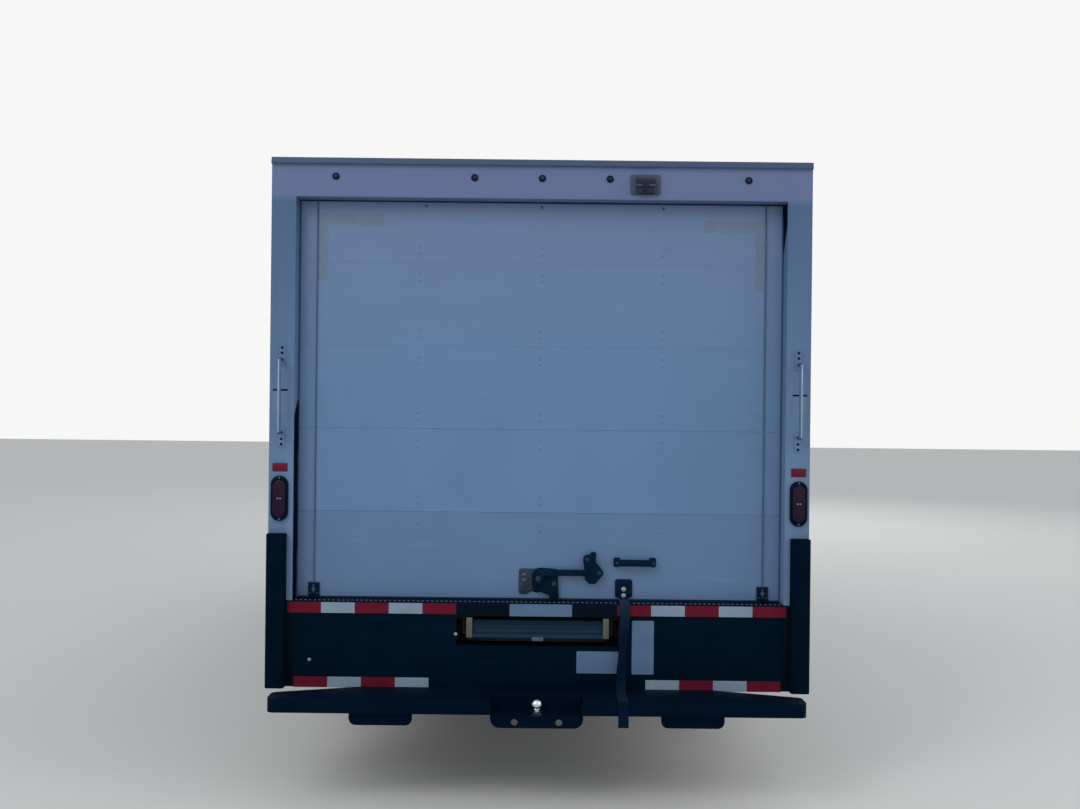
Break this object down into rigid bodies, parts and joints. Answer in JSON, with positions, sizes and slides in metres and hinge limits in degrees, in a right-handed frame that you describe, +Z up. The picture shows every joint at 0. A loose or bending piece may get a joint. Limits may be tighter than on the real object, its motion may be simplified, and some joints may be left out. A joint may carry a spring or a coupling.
{
  "type": "cutaway van",
  "caption": "Cutaway van with a square box body, roll-up rear door, slide-out loading ramp, step bumper with tow ball, twin rear wheels and a short-nosed cab.",
  "frame": {"origin": "on the ground, under the middle of the vehicle's length and width", "axes": "+X to the vehicle's right, +Y forward, +Z up"},
  "size_m": [2.604, 7.5147, 2.855],
  "materials": {
    "box_paint": "gloss",
    "cab_paint": "gloss",
    "dark_paint": "satin",
    "frame_steel": "satin",
    "raw_steel": "satin",
    "ball_chrome": "polished",
    "ramp_metal": "satin",
    "cast_iron": "matte",
    "black_plastic": "matte",
    "trim_plastic": "matte",
    "rubber": "matte",
    "tyre": "matte",
    "rim_paint": "satin",
    "glass": "clear",
    "red_lens": "gloss",
    "amber_lens": "gloss",
    "clear_lens": "gloss",
    "grey_coat": "satin",
    "floor_wood": "satin",
    "seat_fabric": "matte",
    "webbing": "matte"
  },
  "bodies": {
    "chassis": {"ladder_frame": "frame_steel", "springs": "frame_steel", "front_axle": "cast_iron", "rear_axle": "cast_iron", "powertrain": "cast_iron", "exhaust": "raw_steel", "fuel_tank": "black_plastic", "cab_floor": "frame_steel", "cab_shell": "cab_paint", "cab_sides": "cab_paint", "firewall": "dark_paint", "fenders": "cab_paint", "nose_panel": "cab_paint", "grille": "black_plastic", "headlamps": "clear_lens", "front_bumper": "rim_paint", "windshield": "glass", "seats": "seat_fabric", "dashboard": "trim_plastic", "box_floor": "floor_wood", "floor_frame": "frame_steel", "box_sides": "box_paint", "box_front": "box_paint", "box_roof": "box_paint", "rear_frame": "box_paint", "rollup_door": "box_paint", "lift_cables": "raw_steel", "door_hardware": "black_plastic", "pull_strap": "webbing", "apron": "dark_paint", "rear_bumper": "dark_paint", "hitch_ball": "ball_chrome", "dock_bumpers": "rubber", "lamp_grommets": "rubber", "red_lamps": "red_lens", "amber_lamps": "amber_lens", "rear_camera": "trim_plastic", "grab_handles": "grey_coat", "mud_flaps": "rubber"},
    "knuckle_left": {"knuckle_left": "cast_iron"},
    "knuckle_right": {"knuckle_right": "cast_iron"},
    "tie_rod": {"tie_rod": "raw_steel"},
    "front_wheel_left": {"front_rim_left": "rim_paint", "front_tyre_left": "tyre"},
    "front_wheel_right": {"front_rim_right": "rim_paint", "front_tyre_right": "tyre"},
    "rear_wheels_left": {"rear_rims_left": "rim_paint", "rear_tyres_left": "tyre"},
    "rear_wheels_right": {"rear_rims_right": "rim_paint", "rear_tyres_right": "tyre"},
    "door_left": {"door_left": "cab_paint", "door_glass_left": "glass", "mirror_left": "black_plastic"},
    "door_right": {"door_right": "cab_paint", "door_glass_right": "glass", "mirror_right": "black_plastic"},
    "hood": {"hood": "cab_paint"},
    "ramp": {"ramp": "ramp_metal"},
    "steering_wheel": {"steering_wheel": "black_plastic"},
    "lock_lever": {"lock_lever": "black_plastic"}
  },
  "joints": [
    {"name": "steer_left", "type": "hinge", "parent": "chassis", "child": "knuckle_left", "pos_m": [-0.76, 2.904, 0.372], "axis": [0, 0, 1], "range_deg": [-33, 33]},
    {"name": "steer_right", "type": "hinge", "parent": "chassis", "child": "knuckle_right", "pos_m": [0.76, 2.904, 0.372], "axis": [0, 0, 1], "range_deg": [-33, 33]},
    {"name": "tie_rod_slide", "type": "slide", "parent": "chassis", "child": "tie_rod", "axis": [1, 0, 0], "range_m": [-0.0955, 0.0955]},
    {"name": "front_left_spin", "type": "hinge", "parent": "knuckle_left", "child": "front_wheel_left", "pos_m": [-0.85, 2.904, 0.372], "axis": [1, 0, 0], "continuous": true},
    {"name": "front_right_spin", "type": "hinge", "parent": "knuckle_right", "child": "front_wheel_right", "pos_m": [0.85, 2.904, 0.372], "axis": [1, 0, 0], "continuous": true},
    {"name": "rear_left_spin", "type": "hinge", "parent": "chassis", "child": "rear_wheels_left", "pos_m": [-0.93, -1.109, 0.372], "axis": [1, 0, 0], "continuous": true},
    {"name": "rear_right_spin", "type": "hinge", "parent": "chassis", "child": "rear_wheels_right", "pos_m": [0.93, -1.109, 0.372], "axis": [1, 0, 0], "continuous": true},
    {"name": "door_left_hinge", "type": "hinge", "parent": "chassis", "child": "door_left", "pos_m": [-1.015, 2.563, 1], "axis": [0, 0, -1], "range_deg": [0, 65]},
    {"name": "door_right_hinge", "type": "hinge", "parent": "chassis", "child": "door_right", "pos_m": [1.015, 2.563, 1], "axis": [0, 0, 1], "range_deg": [0, 65]},
    {"name": "hood_hinge", "type": "hinge", "parent": "chassis", "child": "hood", "pos_m": [0, 2.795, 1.332], "axis": [1, 0, 0], "range_deg": [0, 60]},
    {"name": "ramp_slide", "type": "slide", "parent": "chassis", "child": "ramp", "axis": [0, -1, 0], "range_m": [0, 2.9]},
    {"name": "steering_wheel_turn", "type": "hinge", "parent": "chassis", "child": "steering_wheel", "pos_m": [-0.47, 2.29, 1.18], "axis": [0, -0.8192, 0.5736], "range_deg": [-462, 462]},
    {"name": "lock_lever_turn", "type": "hinge", "parent": "chassis", "child": "lock_lever", "pos_m": [0, -3.474, 0.962], "axis": [0, -1, 0], "range_deg": [0, 60]}
  ],
  "couplings": [
    {"joint": "steer_right", "follows": "steer_left", "ratio": 1},
    {"joint": "tie_rod_slide", "follows": "steer_left", "m_per_rad": 0.165},
    {"joint": "steering_wheel_turn", "follows": "steer_left", "ratio": 14}
  ]
}
